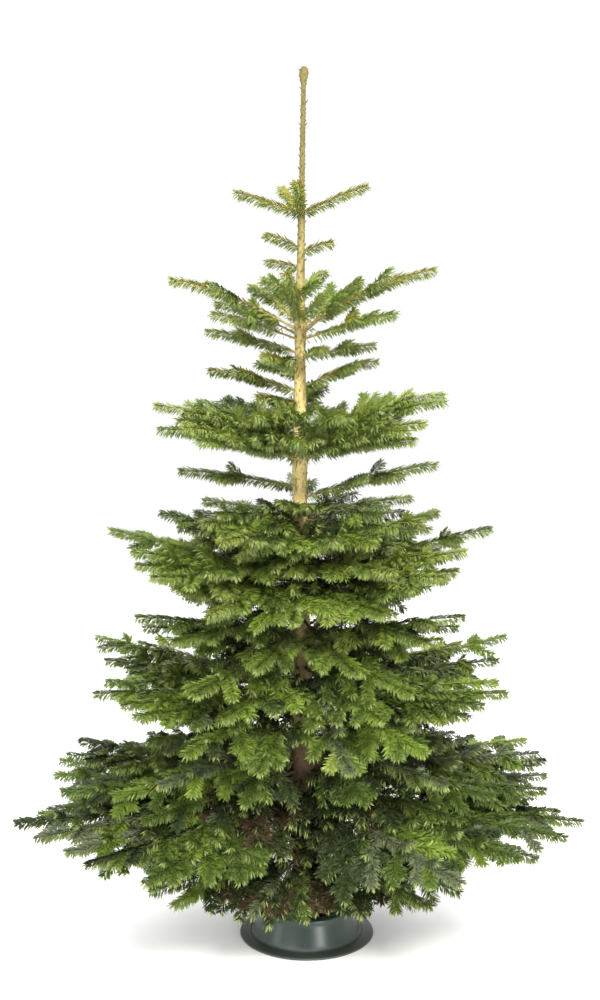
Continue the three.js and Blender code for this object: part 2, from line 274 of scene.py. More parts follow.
class Value:
    """One output of a node, with the operators that add the node of their sum, product and so on."""

    def __init__(self, graph, socket):
        self.graph = graph
        self.socket = socket

    def _with(self, operation, *others, before=False):
        operands = [*others, self] if before else [self, *others]
        vector = any(isinstance(o, Value) and o.socket.type == "VECTOR" for o in operands)
        kind = "ShaderNodeVectorMath" if vector else "ShaderNodeMath"
        return self.graph.node(kind, dict(operation=operation), dict(enumerate(operands)))

    def __add__(self, other): return self._with("ADD", other)
    def __sub__(self, other): return self._with("SUBTRACT", other)
    def __rsub__(self, other): return self._with("SUBTRACT", other, before=True)
    def __mul__(self, other): return self._with("MULTIPLY", other)
    def __gt__(self, other): return self._with("GREATER_THAN", other)
    def __lt__(self, other): return self._with("LESS_THAN", other)
    def sine(self): return self._with("SINE")
    def cosine(self): return self._with("COSINE")
    def unit(self): return self._with("NORMALIZE")
    def cross(self, other): return self._with("CROSS_PRODUCT", other)

    __radd__, __rmul__ = __add__, __mul__


class Graph:
    """A node tree under construction."""

    def __init__(self, tree):
        self.tree = tree

    def node(self, kind, settings=None, inputs=None, output=0):
        made = self.tree.nodes.new(kind)
        for name, value in (settings or {}).items():
            setattr(made, name, value)
        for key, value in (inputs or {}).items():
            self._feed(self._input(made, key), value)
        outputs = [s for s in made.outputs if s.enabled]
        found = outputs[output] if isinstance(output, int) else made.outputs[output]
        return Value(self, found)

    def _input(self, made, key):
        if isinstance(key, int):
            return made.inputs[key]
        return next(s for s in made.inputs if s.enabled and key in (s.name, s.identifier))

    def _feed(self, socket, value):
        if isinstance(value, Value):
            self.tree.links.new(value.socket, socket)
        elif socket.type == "RGBA" and len(value) == 3:
            socket.default_value = (*value, 1.0)
        else:
            socket.default_value = value

    def mix(self, first, second, factor):
        return self.node(
            "ShaderNodeMix", dict(data_type="RGBA"), {"Factor": factor, "A": first, "B": second}
        )

    def eased(self, value, low, high, out_low=0.0, out_high=1.0):
        return self.node(
            "ShaderNodeMapRange", {},
            {"Value": value, "From Min": low, "From Max": high, "To Min": out_low, "To Max": out_high},
        )

    def noise(self, place, scale, detail):
        return self.node("ShaderNodeTexNoise", {}, dict(Vector=place, Scale=scale, Detail=detail))


SOCKET_KINDS = dict(
    geometry="NodeSocketGeometry", number="NodeSocketFloat", count="NodeSocketInt",
    material="NodeSocketMaterial", object="NodeSocketObject",
)


class Maker(Graph):
    """A Geometry Nodes tree with named inputs, run once on a mesh to give a plain mesh."""

    def __init__(self, name, **sizes):
        super().__init__(bpy.data.node_groups.new(name, "GeometryNodeTree"))
        self.sockets = {}
        for size, kind in {"geometry": "geometry", **sizes}.items():
            made = self.tree.interface.new_socket(
                name=size, in_out="INPUT", socket_type=SOCKET_KINDS[kind]
            )
            self.sockets[size] = made.identifier
        self.tree.interface.new_socket(
            name="geometry", in_out="OUTPUT", socket_type="NodeSocketGeometry"
        )
        self.source = self.tree.nodes.new("NodeGroupInput")

    def given(self, size):
        return Value(self, self.source.outputs[size])

    def named(self, attribute, data_type="FLOAT"):
        return self.node(
            "GeometryNodeInputNamedAttribute", dict(data_type=data_type), dict(Name=attribute)
        )

    def random(self, low, high, seed, data_type="FLOAT"):
        return self.node(
            "FunctionNodeRandomValue", dict(data_type=data_type), dict(Min=low, Max=high, Seed=seed)
        )

    def curve(self):
        return self.node("GeometryNodeMeshToCurve", {}, dict(Mesh=self.given("geometry")))

    def turned(self, way, face):
        """The rotation that lays a shape's length along way and its top towards face."""
        return self.node(
            "FunctionNodeAxesToRotation", dict(primary_axis="Y", secondary_axis="Z"),
            {"Primary Axis": way, "Secondary Axis": face},
        )

    def placed(self, points, shape, rotation, size, chosen=True):
        """Copies of the object given by the name of shape, on the points."""
        copied = self.node(
            "GeometryNodeObjectInfo", dict(transform_space="ORIGINAL"),
            dict(Object=self.given(shape)), output="Geometry",
        )
        return self.node(
            "GeometryNodeInstanceOnPoints", {},
            dict(Points=points, Selection=chosen, Instance=copied, Rotation=rotation, Scale=size),
        )

    def finish(self, geometry):
        real = self.node("GeometryNodeRealizeInstances", {}, dict(Geometry=geometry))
        done = self.node(
            "GeometryNodeSetMaterial", {}, dict(Geometry=real, Material=self.given("material"))
        )
        self.tree.links.new(done.socket, self.tree.nodes.new("NodeGroupOutput").inputs[0])

    def run(self, name, source, **sizes):
        """The tree's result on a mesh, as a new object."""
        holder = link(name + "_source", source)
        modifier = holder.modifiers.new("grow", "NODES")
        modifier.node_group = self.tree
        for size, value in sizes.items():
            modifier[self.sockets[size]] = value
        evaluated = holder.evaluated_get(bpy.context.evaluated_depsgraph_get())
        mesh = bpy.data.meshes.new_from_object(evaluated)
        bpy.data.objects.remove(holder)
        mesh.name = name
        return link(name, mesh)


# Meshes.

def link(name, data):
    made = bpy.data.objects.new(name, data)
    bpy.context.scene.collection.objects.link(made)
    return made


def mesh_of(name, points, faces, smooth=True):
    mesh = bpy.data.meshes.new(name)
    mesh.from_pydata([tuple(p) for p in points], [], faces)
    mesh.update()
    if smooth:
        mesh.shade_smooth()
    return mesh


def tube(rings):
    """Points and faces of a closed skin over rings of the same number of points."""
    rings = np.asarray(rings, float)
    steps, sides = rings.shape[:2]
    points = rings.reshape(-1, 3)
    faces = []
    for step in range(steps - 1):
        row = step * sides
        for side in range(sides):
            a, b = row + side, row + (side + 1) % sides
            faces.append((a, b, b + sides, a + sides))
    faces.append(tuple(range(sides - 1, -1, -1)))
    faces.append(tuple(range((steps - 1) * sides, steps * sides)))
    return points, faces


def give(mesh, key, values):
    """Stores a number or a vector for each point of a mesh."""
    values = np.asarray(values, np.float32)
    vector = values.ndim > 1
    attribute = mesh.attributes.new(key, "FLOAT_VECTOR" if vector else "FLOAT", "POINT")
    attribute.data.foreach_set("vector" if vector else "value", values.ravel())


def wires(name, axes):
    """A mesh of loose edges, one chain for each shoot, with the facts of each shoot's points."""
    points, edges = [], []
    facts = {key: [] for key in ("heading", "top", "thick", "cover", "tip")}
    for axis in axes:
        first = len(points)
        points.extend(axis.points)
        edges.extend((k, k + 1) for k in range(first, len(points) - 1))
        for key, values in axis.facts().items():
            facts[key].extend(values)
    mesh = bpy.data.meshes.new(name)
    mesh.from_pydata(points, edges, [])
    for key, values in facts.items():
        give(mesh, key, values)
    return mesh


# The frame: the stem's line and thickness, and where each bough starts and ends.

def node_points(name):
    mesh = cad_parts[name].data
    flat = np.zeros(len(mesh.vertices) * 3, np.float32)
    mesh.vertices.foreach_get("co", flat)
    return flat.reshape(-1, 3).astype(float)


class Stem:
    """The stem's line and thickness, read off the rings of its solid."""

    SAMPLE = 0.004

    def __init__(self):
        points = node_points("trunk")
        levels = np.unique(points[:, 2].round(5))
        rings = [np.unique(points[abs(points[:, 2] - z) < 2e-5].round(6), axis=0) for z in levels]
        centres = np.array([ring[:, :2].mean(axis=0) for ring in rings])
        radii = [np.linalg.norm(ring[:, :2] - c, axis=1).max() for ring, c in zip(rings, centres)]
        self.foot, self.tip = levels[0], levels[-1]
        self.heights = np.arange(self.foot, self.tip, self.SAMPLE)
        self.x = np.interp(self.heights, levels, centres[:, 0])
        self.y = np.interp(self.heights, levels, centres[:, 1])
        self.r = np.interp(self.heights, levels, radii)

    def centre(self, height):
        return Vector((
            np.interp(height, self.heights, self.x), np.interp(height, self.heights, self.y), height
        ))

    def radius(self, height):
        return float(np.interp(height, self.heights, self.r))


class Bough:
    """Where one main bough runs: from the stem's middle at a height, out along an azimuth."""

    def __init__(self, tier, azimuth, height, reach, rise, seed, bearing=EXTRA_BEARING):
        self.bearing = bearing
        self.rule = TIERS[tier]
        self.out = Vector((math.cos(azimuth), math.sin(azimuth), 0))
        self.foot = stem.centre(height)
        self.reach, self.rise = reach, rise
        self.random = random.Random(seed)
        self.axes = []

    @classmethod
    def of_mass(cls, node, seed):
        """The bough of one mass of the frame: it ends where the mass reaches furthest."""
        tier = node.rsplit("_mass_", 1)[0]
        points = node_points(node)
        middle = np.array(stem.centre(points[:, 2].mean())[:2])
        flat = points[:, :2] - middle
        far = flat[np.linalg.norm(flat, axis=1).argmax()]
        out = far / np.linalg.norm(far)
        along = flat @ out
        tip = points[along > along.max() - CAP].mean(axis=0)
        base = points[along < along.min() + CAP].mean(axis=0)
        reach, start = along.max(), along.min()
        rise = (tip[2] - base[2]) / (1 - start / reach) ** TIERS[tier]["arch"]
        x, y = tip[:2] - middle
        return cls(tier, math.atan2(y, x), tip[2] - rise, reach, rise, seed, MASS_BEARING)

    def path(self, steps):
        start = stem.radius(self.foot.z) * PATH["start"]
        points = []
        sway = [self.random.uniform(-1, 1) for _ in range(4)]
        across = self.out.cross(UP)
        for step in range(steps + 1):
            share = step / steps
            distance = start + (self.reach - start) * share
            lift = self.rise * (1 - max(0.0, 1 - distance / self.reach) ** self.rule["arch"])
            wave = math.sin(math.pi * share)
            double = sway[0] * wave + sway[1] * math.sin(2 * math.pi * share)
            wander = PATH["sway"] * self.reach * double
            sag = PATH["sag"] * self.reach * sway[2] * wave
            points.append(self.foot + self.out * distance + UP * (lift + sag) + across * wander)
        return points


# Growth.

def crown_share(point):
    """How far out in the crown a point is: 0 on its axis, 1 at its edge."""
    return math.hypot(point.x, point.y) / (CROWN_RADIUS[0] + CROWN_RADIUS[1] * point.z)


def hides_stem(point):
    """Whether a point stands in front of a place where the stem shows."""
    if point.y > -GAP_START or abs(point.x) > GAP_REACH:
        return False
    seen = EYE + (point - EYE) * (-EYE.y / (point.y - EYE.y))
    if abs(seen.x - stem.centre(seen.z).x) > stem.radius(seen.z) * GAP_SHARE:
        return False
    return any(low < seen.z < high for low, high in STEM_GAPS)


class Axis:
    """One shoot with its yearly steps: its points, which way is up on it and how old it is."""

    def __init__(self, points, up, years, order, spray, palette, bare=0.0, bearing=GROWTH["bearing"]):
        self.points = points
        self.up = up
        self.years = years
        self.order = order
        self.spray = spray
        self.palette = palette
        self.bare = bare
        self.bearing = bearing
        gaps = [(b - a).length for a, b in zip(points, points[1:])]
        self.length = sum(gaps)
        self.along = [sum(gaps[:k]) for k in range(len(points))]

    def heading(self, k):
        before, after = self.points[max(k - 1, 0)], self.points[min(k + 1, len(self.points) - 1)]
        return (after - before).normalized()

    def at(self, distance):
        """The place and heading at a distance along the shoot."""
        for k in range(len(self.points) - 1):
            if self.along[k + 1] >= distance:
                break
        gap = self.along[k + 1] - self.along[k]
        share = (distance - self.along[k]) / gap if gap else 0.0
        place = self.points[k].lerp(self.points[k + 1], share)
        return place, (self.points[k + 1] - self.points[k]).normalized()

    def facts(self):
        """What the makers read at each point: directions, thickness, cover and distance to the tip."""
        remaining = [self.length - s for s in self.along]
        age = [self.years * r / self.length for r in remaining]
        losing = [(a - NEEDLES["old_age"]) / (NEEDLES["bare_age"] - NEEDLES["old_age"]) for a in age]
        cover = [1.0 - NEEDLES["lost"] * min(max(share, 0.0), 1.0) for share in losing]
        cover = [NEEDLES["bare_cover"] if s < self.bare else c for s, c in zip(self.along, cover)]
        if self.palette not in UPPER_TIERS:
            cover = [c * self.density(k) for k, c in enumerate(cover)]
        cover = [0.0 if hides_stem(p) else c for p, c in zip(self.points, cover)]
        thick = [TWIG["tip"] + TWIG["taper"] * r for r in remaining]
        headings = [self.heading(k) for k in range(len(self.points))]
        tops = [self.up] * len(headings)
        return dict(heading=headings, top=tops, thick=thick, cover=cover, tip=remaining)

    def density(self, k):
        """How close the needles stand: fewest in the shade, most on the tips at the crown's edge."""
        share = crown_share(self.points[k])
        if share < INNER_SHARE:
            return NEEDLES["inner_cover"]
        if share > EDGE_SHARE and self.length - self.along[k] < EDGE_TIP:
            return 1.0
        return NEEDLES["usual_cover"]

    def needled_length(self):
        cover = self.facts()["cover"]
        gaps = zip(self.along, self.along[1:], cover)
        return sum((b - a) * c for a, b, c in gaps)


def shoot(bough, place, heading, up, forward, length, years, order, spray):
    """A side shoot that leaves along heading, bends forward and lifts or drops its tip."""
    steps = max(3, 2 * years)
    points = [place]
    aim = heading.normalized()
    for step in range(steps):
        share = (step + 0.5) / steps
        drift = Vector([bough.random.uniform(-1, 1) for _ in range(3)]) * GROWTH["wander"]
        lift = UP * bough.rule["tips"] * share * GROWTH["tip_bend"]
        way = aim + forward * GROWTH["forward_bend"] * share + lift + drift
        points.append(points[-1] + way.normalized() * (length / steps))
    branch(bough, Axis(points, up, years, order, spray, bough.rule["palette"]))


def branch(bough, axis):
    """Adds an axis with its side shoots, and theirs, to its bough."""
    if axis.order > 1 and any(hides_stem(point) for point in axis.points):
        return
    bough.axes.append(axis)
    if axis.order >= GROWTH["orders"] or axis.years < 1:
        return
    rand = bough.random
    step_length = axis.length / axis.years
    share = GROWTH["side_share"][axis.order - 1]
    oldest = max(axis.years - axis.bearing, 0)
    for year in range(max(oldest, 1), axis.years):
        spread = GROWTH["step_spread"]
        place, heading = axis.at(step_length * year * rand.uniform(1 - spread, 1 + spread))
        beyond = axis.length - step_length * year
        across = heading.cross(axis.up).normalized()
        for side in (-1, 1):
            spray = rand.random()
            if axis.order > 1:
                spread = GROWTH["spray_spread"]
                spray = min(max(axis.spray + rand.uniform(-spread, spread), 0.0), 1.0)
            length = beyond * share * (1 + GROWTH["length_spread"] * rand.uniform(-1, 1))
            grow_side(bough, axis, place, heading, across * side, length, axis.years - year, spray)
        if rand.random() < bough.rule["upright"] and beyond > GROWTH["upright_from"]:
            sway = across * rand.uniform(-GROWTH["upright_sway"], GROWTH["upright_sway"])
            lift = (axis.up + heading * GROWTH["upright_lean"] + sway).normalized()
            length = beyond * share * rand.uniform(*GROWTH["upright_share"])
            years = max(1, (axis.years - year) // 2)
            shoot(bough, place, lift, -heading.cross(across), heading, length, years,
                  axis.order + 1, axis.spray)
    for year in range(oldest, axis.years - 1):
        for side in (-1, 1):
            if rand.random() > GROWTH["small_shoots"]:
                continue
            place, heading = axis.at(step_length * (year + rand.uniform(*GROWTH["small_place"])))
            across = heading.cross(axis.up).normalized() * side
            length = step_length * rand.uniform(*GROWTH["small_share"])
            years = 1 if axis.years - year < GROWTH["small_age"] else 2
            length *= 1 + GROWTH["small_growth"] * years
            grow_side(bough, axis, place, heading, across, length, years, axis.spray)


def grow_side(bough, axis, place, heading, across, length, years, spray):
    """A side shoot across an axis, tilted and rolled a little, with its own side shoots."""
    if length < GROWTH["shortest"] or axis.along[-1] == 0:
        return
    rand = bough.random
    angle = math.radians(GROWTH["side_angle"] + GROWTH["angle_spread"] * rand.uniform(-1, 1))
    fall = bough.rule["fall"] * (1 if axis.order == 1 else 0.5)
    tilt = rand.uniform(-GROWTH["tilt"], GROWTH["tilt"]) - fall
    way = heading * math.cos(angle) + (across + axis.up * tilt) * math.sin(angle)
    roll = rand.uniform(-GROWTH["roll"], GROWTH["roll"])
    up = (axis.up + across * roll).normalized()
    shoot(bough, place, way, up, heading, length, years, axis.order + 1, spray)


def grow_bough(bough):
    """All the shoots of one bough, the main one first."""
    rule, rand = bough.rule, bough.random
    points = bough.path(4 * rule["years"] + 2)
    across = bough.out.cross(UP).normalized()
    heading = (points[-1] - points[0]).normalized()
    level = across.cross(heading).normalized()
    roll = rand.uniform(-1, 1) * GROWTH["spray_roll"] * min(1.0, rule["years"] / 4)
    up = (level + across * math.tan(math.radians(roll))).normalized()
    branch(bough, Axis(
        points, up, rule["years"], 1, rand.random(), rule["palette"], rule["bare"], bough.bearing
    ))
    return bough.axes


# The makers of what repeats.

def needle_maker():
    """Needles in a golden spiral along wires, short and forward near the tips."""
    maker = Maker(
        "needles along shoots", blade="object", spacing="number", length="number", width="number",
        top_angle="number", side_angle="number", under_angle="number",
        lowest="number", highest="number", seed="count", material="material",
    )
    given = maker.given

    def around(spread, number):
        return maker.random(-NEEDLES[spread], NEEDLES[spread], given("seed") + number)

    curve = maker.node(
        "GeometryNodeResampleCurve", dict(mode="LENGTH"),
        dict(Curve=maker.curve(), Length=given("spacing")),
    )
    index = maker.node("GeometryNodeInputIndex")
    turn = index * GOLDEN_TURN + around("turn", 0)
    upness, sideness = turn.cosine(), turn.sine()
    heading = maker.named("heading", "FLOAT_VECTOR").unit()
    across = heading.cross(maker.named("top", "FLOAT_VECTOR")).unit()
    top = across.cross(heading)

    under = maker.eased(upness, -1.0, 0.0, given("under_angle"), given("side_angle"))
    over = maker.eased(upness, 0.0, 1.0, 0.0, given("top_angle") - given("side_angle"))
    near_tip = maker.eased(maker.named("tip"), 0.0, NEEDLES["tip_zone"], 1.0, 0.0)
    lean = (under + over) * (1.0 - near_tip * NEEDLES["tip_lean"]) + around("lean", 1)
    radial = (top * upness + across * sideness).unit()
    drift = (NEEDLES["way"],) * 3
    jitter = maker.random([-d for d in drift], drift, given("seed") + 2, "FLOAT_VECTOR")
    way = (heading * lean.cosine() + radial * lean.sine() + jitter).unit()
    rotation = maker.turned(way, (top + across * around("roll", 3)).unit())
    longer = maker.random(*NEEDLES["long"], given("seed") + 4) * (1.0 - near_tip * NEEDLES["tip_short"])
    shorter_on_top = 1.0 - maker.eased(upness, 0.0, 1.0, 0.0, NEEDLES["top_short"])
    length = given("length") * longer * shorter_on_top
    width = given("width") * maker.random(*NEEDLES["wide"], given("seed") + 5)
    size = maker.node("ShaderNodeCombineXYZ", {}, dict(X=width, Y=length, Z=length))
    kept = maker.random(0.0, 1.0, given("seed") + 6) < maker.named("cover")
    chosen = kept * (upness > given("lowest")) * (upness < given("highest"))
    maker.finish(maker.placed(curve, "blade", rotation, size, chosen))
    return maker


def twig_maker():
    """A tapering round skin along each wire."""
    maker = Maker("skin along shoots", sides="count", swell="number", material="material")
    given = maker.given
    ring = maker.node(
        "GeometryNodeCurvePrimitiveCircle", {}, dict(Resolution=given("sides"), Radius=1.0)
    )
    skin = maker.node(
        "GeometryNodeCurveToMesh", {},
        {"Curve": maker.curve(), "Profile Curve": ring,
         "Scale": maker.named("thick") * given("swell"), "Fill Caps": True},
    )
    maker.finish(skin)
    return maker


def bud_maker():
    """A bud on each point, along its heading."""
    maker = Maker(
        "buds on tips", bud="object", length="number", width="number", seed="count", material="material"
    )
    given = maker.given
    points = maker.node("GeometryNodeMeshToPoints", {}, dict(Mesh=given("geometry")))
    rotation = maker.turned(maker.named("heading", "FLOAT_VECTOR"), tuple(UP))
    grow = maker.random(0.75, 1.2, given("seed")) * maker.named("thick")
    thick = given("width") * grow
    size = maker.node("ShaderNodeCombineXYZ", {}, dict(X=thick, Y=given("length") * grow, Z=thick))
    maker.finish(maker.placed(points, "bud", rotation, size))
    return maker


def blade_shape(fine):
    """A needle one unit long and wide, slightly bent: narrow at its foot, blunt where it shows."""
    if fine:
        points = [(0, 0, 0), (0.5, 0.34, 0.03), (-0.5, 0.34, 0.03), (0.3, 1, -0.05), (-0.3, 1, -0.05)]
        faces = [(0, 1, 2), (1, 3, 4), (1, 4, 2)]
    else:
        points = [(0, 0, 0), (0.62, 0.6, 0.03), (-0.62, 0.6, 0.03), (0, 1, -0.05)]
        faces = [(0, 1, 2), (1, 3, 2)]
    return link("blade", mesh_of("blade", points, faces, smooth=False))


def bud_shape():
    """An egg with a blunt point, one unit long and wide."""
    sides = 4
    turns = [2 * math.pi * k / sides for k in range(sides)]
    rings = [[(r * math.cos(t), y, -r * math.sin(t)) for t in turns]
             for y, r in ((-0.15, 0.3), (0.3, 0.5), (0.75, 0.32), (1.0, 0.06))]
    return link("bud", mesh_of("bud", *tube(rings)))


# Materials.

def new_material(name, **constants):
    """A material, its graph and its main shader, with the constants set on the shader."""
    material = bpy.data.materials.new(name)
    material.use_nodes = True
    shader = material.node_tree.nodes["Principled BSDF"]
    for socket, value in constants.items():
        shader.inputs[socket.replace("_", " ").title().replace("Ior", "IOR")].default_value = value
    return material, Graph(material.node_tree), shader


def set_surface(g, shader, colour, roughness, relief, strength, distance):
    bump = g.node("ShaderNodeBump", {}, dict(Strength=strength, Distance=distance, Height=relief))
    for socket, value in (("Base Color", colour), ("Roughness", roughness), ("Normal", bump)):
        g.tree.links.new(value.socket, shader.inputs[socket])


def plain_material(name, colour, roughness, specular=0.5):
    return new_material(
        name, base_color=(*colour, 1.0), roughness=roughness, specular_ior_level=specular
    )[0]


def bark_material(name, straw_above, brown_below, green_near=None, green_far=None):
    """Straw-coloured young bark with darker scars, turning grey-brown towards the foot.

    On boughs, between two distances from the tip, it turns the green of the shoots.
    """
    material, g, shader = new_material(name, specular_ior_level=0.3)
    place = g.node("ShaderNodeTexCoord", output="Object")
    height = g.node("ShaderNodeSeparateXYZ", {}, dict(Vector=place), output="Z")
    broad = g.noise(place * (1.0, 1.0, 0.35), 14.0, 3.0)
    fine = g.noise(place * (1.0, 1.0, 0.35), 120.0, 4.0)
    scars = g.eased(g.noise(place * (1.0, 1.0, 0.6), 190.0, 2.0), 0.54, 0.66)
    patches = g.eased(g.noise(place * (1.0, 1.0, 0.5), 34.0, 3.0), 0.52, 0.66)
    base = g.mix(*BARK["straw"], g.eased(broad, 0.36, 0.58))
    base = g.mix(base, BARK["tan"], patches * 0.8)
    base = g.mix(base, BARK["leader"], g.eased(height, 1.25, 1.70) * 0.9)
    brown = g.mix(*BARK["brown"], g.eased(broad, 0.4, 0.7))
    base = g.mix(base, brown, g.eased(height, straw_above, brown_below))
    if green_near:
        tip = g.node("ShaderNodeAttribute", dict(attribute_name="tip"), output="Fac")
        green = g.mix(*BARK["shoot"], g.eased(height, 1.2, 1.35))
        base = g.mix(base, green, g.eased(tip, green_far, green_near))
    base = g.mix(base, BARK["scar"], scars * 0.7)
    base = g.mix(base, BARK["worn"], g.eased(fine, 0.6, 0.75) * 0.5)
    set_surface(g, shader, base, 0.72 + fine * 0.2, fine + scars * 0.6, 0.45, 0.0015)
    return material


def plastic_material():
    """Dark green moulded plastic with a satin skin, faint flow marks and dust near the foot."""
    material, g, shader = new_material("green plastic", specular_ior_level=0.5)
    place = g.node("ShaderNodeTexCoord", output="Object")
    height = g.node("ShaderNodeSeparateXYZ", {}, dict(Vector=place), output="Z")
    grain = g.noise(place, 900.0, 2.0)
    flow = g.noise(place * (1.0, 1.0, 0.15), 38.0, 3.0)
    dust = g.eased(height, 0.016, 0.003)
    base = g.mix(g.mix(*PLASTIC["green"], flow), PLASTIC["dust"], dust * 0.6)
    set_surface(g, shader, base, 0.27 + flow * 0.12 + dust * 0.25, grain + flow * 0.5, 0.12, 0.0004)
    return material


# Pieces.

def finish_piece(piece, replaced=()):
    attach(piece, "root")
    if replaced:
        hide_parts(*replaced)
    return piece


def skin_piece(name, rings, material, replaced):
    mesh = mesh_of(name, *tube(rings))
    mesh.materials.append(material)
    return finish_piece(link(name, mesh), replaced)


def smoothed(rough):
    """Noise over height and turn, blurred twice along the stem and once round it, up to 1."""
    spread = np.exp(-np.linspace(-2, 2, 9) ** 2)
    for axis in (0, 0, 1):
        rough = sum(w * np.roll(rough, k - 4, axis=axis) for k, w in enumerate(spread))
    return rough / np.abs(rough).max()


def make_stem(material):
    """The stem's skin with its wrinkles and leaf scars as relief."""
    sides, gap, reach = 40, RELIEF["gap"], 2.5
    turns = np.linspace(0, 2 * np.pi, sides, endpoint=False)
    rand = np.random.default_rng(11)
    rough = smoothed(rand.normal(size=(len(stem.heights), sides)))
    scars = np.zeros_like(rough)
    for number in range(int((stem.tip - stem.foot) / gap)):
        level = stem.foot + gap * number + rand.uniform(-0.002, 0.002)
        side = number * GOLDEN_TURN + rand.uniform(-0.3, 0.3)
        across = (np.mod(turns - side + np.pi, 2 * np.pi) - np.pi) * stem.radius(level) / RELIEF["wide"]
        up = (stem.heights - level) / RELIEF["tall"]
        near = np.abs(up) < reach
        scars[near] += np.exp(-(up[near, None] ** 2) - across[None, :] ** 2)
    height_share = (stem.heights - stem.foot) / (stem.tip - stem.foot)
    relief = RELIEF["wrinkle"] * rough * (RELIEF["foot"] - height_share)[:, None]
    relief += RELIEF["scar"] * np.clip(scars, 0, 1.2)
    relief *= np.minimum(1, stem.r / RELIEF["thin"])[:, None]
    radii = stem.r[:, None] + relief
    rings = np.stack([
        stem.x[:, None] + radii * np.cos(turns), stem.y[:, None] + radii * np.sin(turns),
        np.repeat(stem.heights[:, None], sides, axis=1),
    ], axis=-1)
    return skin_piece("stem_bark", rings, material, ["trunk"])


def make_wood(name, axes, material, sides=TWIG["sides"], swell=1.0, replaced=()):
    """The woody skins of shoots, as one piece."""
    made = twigs.run(name, wires(name + "_wires", axes), sides=sides, swell=swell, material=material)
    made.data.shade_smooth()
    return finish_piece(made, replaced)


def make_needles(name, axes, colour, lowest, highest, seed, replaced=()):
    """The needles of some shoots whose lean lies between two limits, as one piece."""
    wider = NEEDLES["inner_width"] if colour in INNER_COLOURS else 1.0
    angles = {key: math.radians(NEEDLES[key]) for key in ("top_angle", "side_angle", "under_angle")}
    blade = coarse_blade if colour in COARSE_COLOURS else fine_blade
    made = needles.run(
        name, wires(name + "_wires", axes), blade=blade,
        spacing=spacing, length=NEEDLES["length"], width=NEEDLES["width"] * wider, **angles,
        lowest=lowest, highest=highest, seed=seed, material=leaf_materials[colour],
    )
    return finish_piece(made, replaced)


def in_pieces(axes, spacing):
    """The axes in groups whose needles stay within one piece."""
    groups, held = [], 0.0
    for axis in axes:
        needles_here = axis.needled_length() / spacing
        if not groups or held + needles_here > NEEDLES["piece"]:
            groups.append([])
            held = 0.0
        groups[-1].append(axis)
        held += needles_here
    return groups


def colour_of(axis):
    """The colour that a spray draws from the palette of its tier and its place in the crown, with
    painted shade inside the crown.
    """
    tip = axis.points[-1]
    palette = axis.palette
    # Painted shade: sprays inside the crown draw the dark inner or core colours.
    if palette not in UPPER_TIERS and crown_share(tip) < INNER_SHARE:
        palette = "core" if tip.z < CORE_BELOW else "inner"
    elif palette == "lower" and abs(tip.x) > SIDE_FROM and tip.z < SIDE_BELOW:
        palette = "side"
    draw = axis.spray
    if axis.order == 1 and palette in UPPER_TIERS:
        draw = LEADER_TINT + (1 - LEADER_TINT) * draw
    for name, share in PALETTES[palette].items():
        draw -= share
        if draw < 0:
            return name
    return name


def golden_side(number):
    """Where the next of many stands round the stem."""
    turn = number * GOLDEN_TURN
    return Vector((math.cos(turn), math.sin(turn), 0))


def make_buds(axes, material):
    """Buds on the tips of shoots, three on a main bough, and a crown of them on the leader."""
    rand = random.Random(5)
    spots = []
    for axis in axes:
        tip, heading = axis.points[-1], axis.heading(len(axis.points) - 1)
        strong = axis.order == 1 or axis.palette in UPPER_TIERS
        if axis.order > 1 and rand.random() > BUD["chance"][0 if strong else 1]:
            continue
        across = heading.cross(axis.up).normalized()
        for turn in ((0, -BUD["turn"], BUD["turn"]) if axis.order == 1 else (0,)):
            size = BUD["size"][0 if strong else 1] * (BUD["side_size"] if turn else 1.0)
            spots.append((tip, heading + across * turn, size))
    crown = stem.centre(stem.tip) - UP * CROWN_BUDS["below"]
    for number in range(CROWN_BUDS["count"]):
        side = golden_side(number)
        heading = UP + side * (CROWN_BUDS["lean"] if number else 0)
        spots.append((crown + side * CROWN_BUDS["apart"], heading, CROWN_BUDS["size"]))
    return bud_piece("buds", spots, BUD, material)


def make_scales(material):
    """The short stiff scales that stand on the young stem, fewer lower down."""
    rand = random.Random(9)
    spots = []
    level, number = stem.tip - SCALES["below_tip"], 0
    while level > SCALES["lowest"]:
        side = golden_side(number)
        place = stem.centre(level) + side * stem.radius(level) * SCALES["sunk"]
        heading = UP * rand.uniform(*SCALES["lean"]) + side
        spots.append((place, heading, rand.uniform(*SCALES["size"])))
        level -= SCALES["gap"] * (1 + SCALES["thinning"] * (stem.tip - level) / stem.tip)
        number += 1
    return bud_piece("stem_scales", spots, SCALES, material)


def bud_piece(name, spots, shape, material):
    """A bud on each spot, given as its point, heading and size, as one piece."""
    points, headings, sizes = zip(*spots)
    mesh = bpy.data.meshes.new(name + "_points")
    mesh.from_pydata(points, [], [])
    give(mesh, "heading", [heading.normalized() for heading in headings])
    give(mesh, "thick", sizes)
    made = buds.run(
        name, mesh, bud=bud, length=shape["length"], width=shape["width"], seed=3, material=material
    )
    made.data.shade_smooth()
    return finish_piece(made)


def rounded(profile, radius, steps=3):
    """A profile with its inner corners rounded, as (radius, height) pairs."""
    points = [Vector(p) for p in profile]
    out = [points[0]]
    for before, corner, after in zip(points, points[1:], points[2:]):
        into, away = before - corner, after - corner
        cut = min(radius, into.length * 0.45, away.length * 0.45)
        a, b = corner + into.normalized() * cut, corner + away.normalized() * cut
        for step in range(steps + 1):
            t = step / steps
            out.append(a.lerp(corner, t).lerp(corner.lerp(b, t), t))
    out.append(points[-1])
    return out


